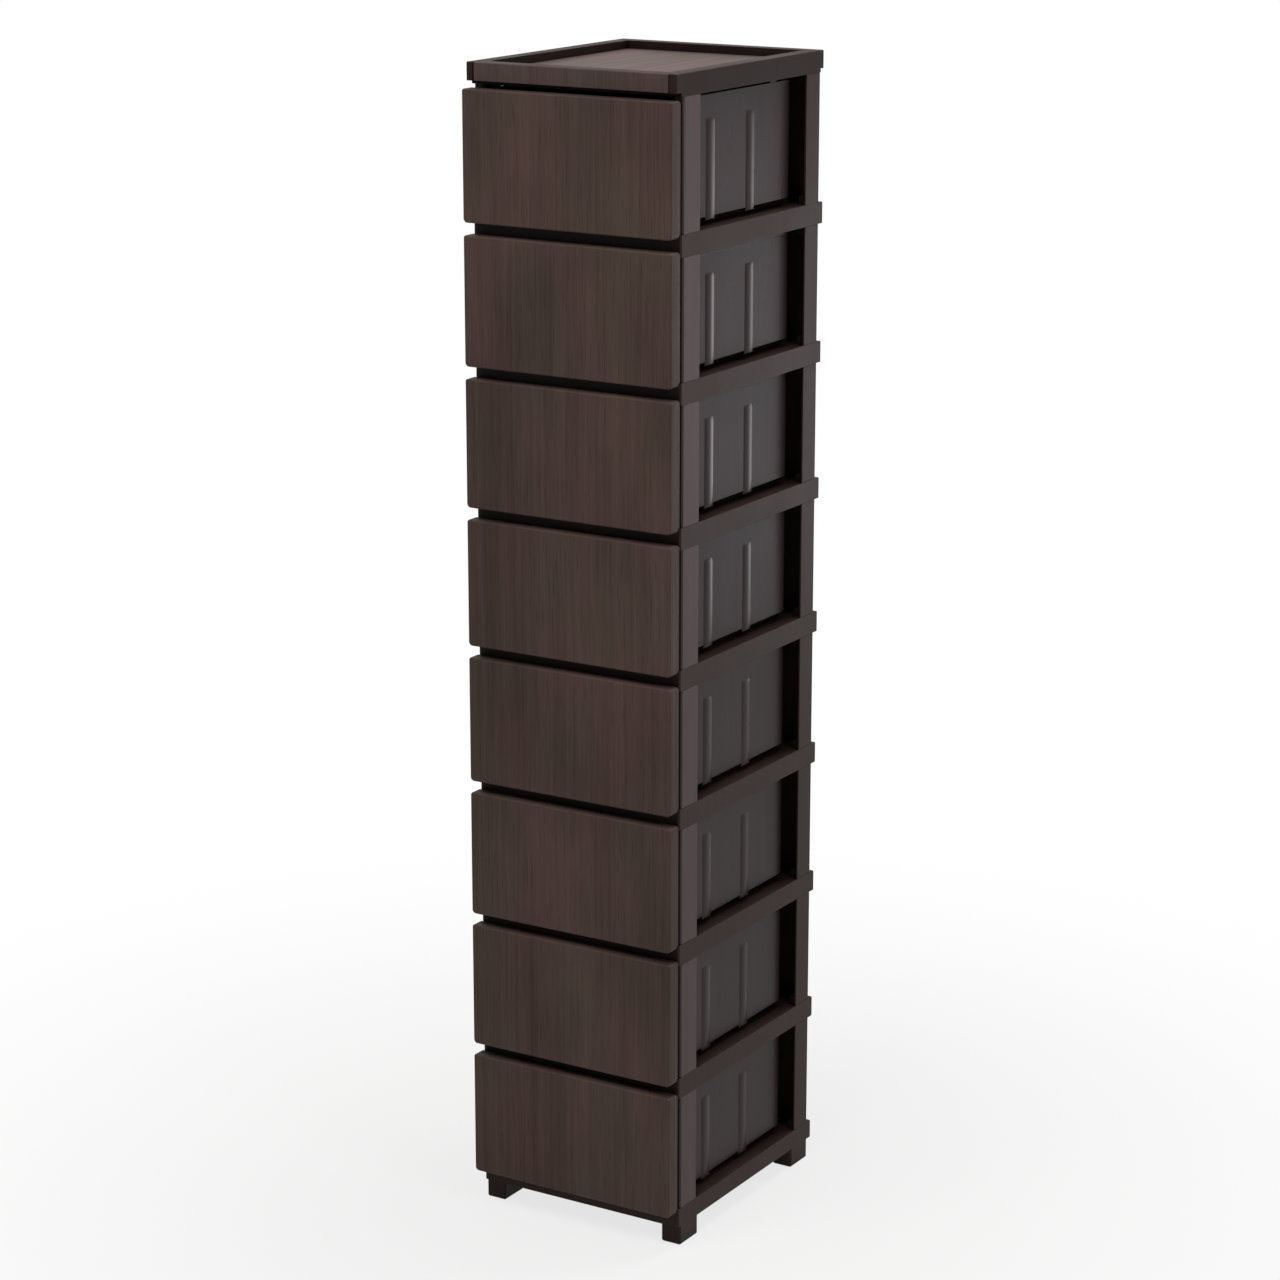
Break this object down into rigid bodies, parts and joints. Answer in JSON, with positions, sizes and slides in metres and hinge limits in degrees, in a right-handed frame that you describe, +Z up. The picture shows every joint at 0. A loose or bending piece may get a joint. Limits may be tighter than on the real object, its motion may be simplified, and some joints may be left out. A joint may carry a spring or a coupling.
{
  "type": "drawer tower",
  "caption": "Slim upright tower of stacked pull-out drawers in dark moulded plastic, with wood-grain drawer fronts, open side windows and a rimmed tray top on short feet.",
  "frame": {"origin": "floor level, under the middle of the closed tower", "axes": "+Z up, +Y towards the back, -Y the drawer side, +X to the right seen from the front"},
  "size_m": [0.25, 0.3134, 1.253],
  "materials": {
    "frame_plastic": "satin dark brown-grey moulded plastic",
    "tub_plastic": "smooth glossy dark brown plastic",
    "wood_grain": "dark brown plastic with a fine wood-grain print"
  },
  "bodies": {
    "tower": {"base_frame": "frame_plastic", "deck_1": "frame_plastic", "deck_2": "frame_plastic", "deck_3": "frame_plastic", "deck_4": "frame_plastic", "deck_5": "frame_plastic", "deck_6": "frame_plastic", "deck_7": "frame_plastic", "front_left_post_1": "frame_plastic", "front_right_post_1": "frame_plastic", "rear_wall_1": "frame_plastic", "front_left_post_2": "frame_plastic", "front_right_post_2": "frame_plastic", "rear_wall_2": "frame_plastic", "front_left_post_3": "frame_plastic", "front_right_post_3": "frame_plastic", "rear_wall_3": "frame_plastic", "front_left_post_4": "frame_plastic", "front_right_post_4": "frame_plastic", "rear_wall_4": "frame_plastic", "front_left_post_5": "frame_plastic", "front_right_post_5": "frame_plastic", "rear_wall_5": "frame_plastic", "front_left_post_6": "frame_plastic", "front_right_post_6": "frame_plastic", "rear_wall_6": "frame_plastic", "front_left_post_7": "frame_plastic", "front_right_post_7": "frame_plastic", "rear_wall_7": "frame_plastic", "front_left_post_8": "frame_plastic", "front_right_post_8": "frame_plastic", "rear_wall_8": "frame_plastic", "top_frame": "frame_plastic", "top_panel": "wood_grain", "top_front_trim": "wood_grain"},
    "drawer_1": {"drawer_tub_1": "tub_plastic", "drawer_front_1": "wood_grain"},
    "drawer_2": {"drawer_tub_2": "tub_plastic", "drawer_front_2": "wood_grain"},
    "drawer_3": {"drawer_tub_3": "tub_plastic", "drawer_front_3": "wood_grain"},
    "drawer_4": {"drawer_tub_4": "tub_plastic", "drawer_front_4": "wood_grain"},
    "drawer_5": {"drawer_tub_5": "tub_plastic", "drawer_front_5": "wood_grain"},
    "drawer_6": {"drawer_tub_6": "tub_plastic", "drawer_front_6": "wood_grain"},
    "drawer_7": {"drawer_tub_7": "tub_plastic", "drawer_front_7": "wood_grain"},
    "drawer_8": {"drawer_tub_8": "tub_plastic", "drawer_front_8": "wood_grain"}
  },
  "joints": [
    {"name": "drawer_1_slide", "type": "slide", "parent": "tower", "child": "drawer_1", "axis": [0, -1, 0], "range_m": [0, 0.1977]},
    {"name": "drawer_2_slide", "type": "slide", "parent": "tower", "child": "drawer_2", "axis": [0, -1, 0], "range_m": [0, 0.1977]},
    {"name": "drawer_3_slide", "type": "slide", "parent": "tower", "child": "drawer_3", "axis": [0, -1, 0], "range_m": [0, 0.1977]},
    {"name": "drawer_4_slide", "type": "slide", "parent": "tower", "child": "drawer_4", "axis": [0, -1, 0], "range_m": [0, 0.1977]},
    {"name": "drawer_5_slide", "type": "slide", "parent": "tower", "child": "drawer_5", "axis": [0, -1, 0], "range_m": [0, 0.1977]},
    {"name": "drawer_6_slide", "type": "slide", "parent": "tower", "child": "drawer_6", "axis": [0, -1, 0], "range_m": [0, 0.1977]},
    {"name": "drawer_7_slide", "type": "slide", "parent": "tower", "child": "drawer_7", "axis": [0, -1, 0], "range_m": [0, 0.1977]},
    {"name": "drawer_8_slide", "type": "slide", "parent": "tower", "child": "drawer_8", "axis": [0, -1, 0], "range_m": [0, 0.1977]}
  ]
}
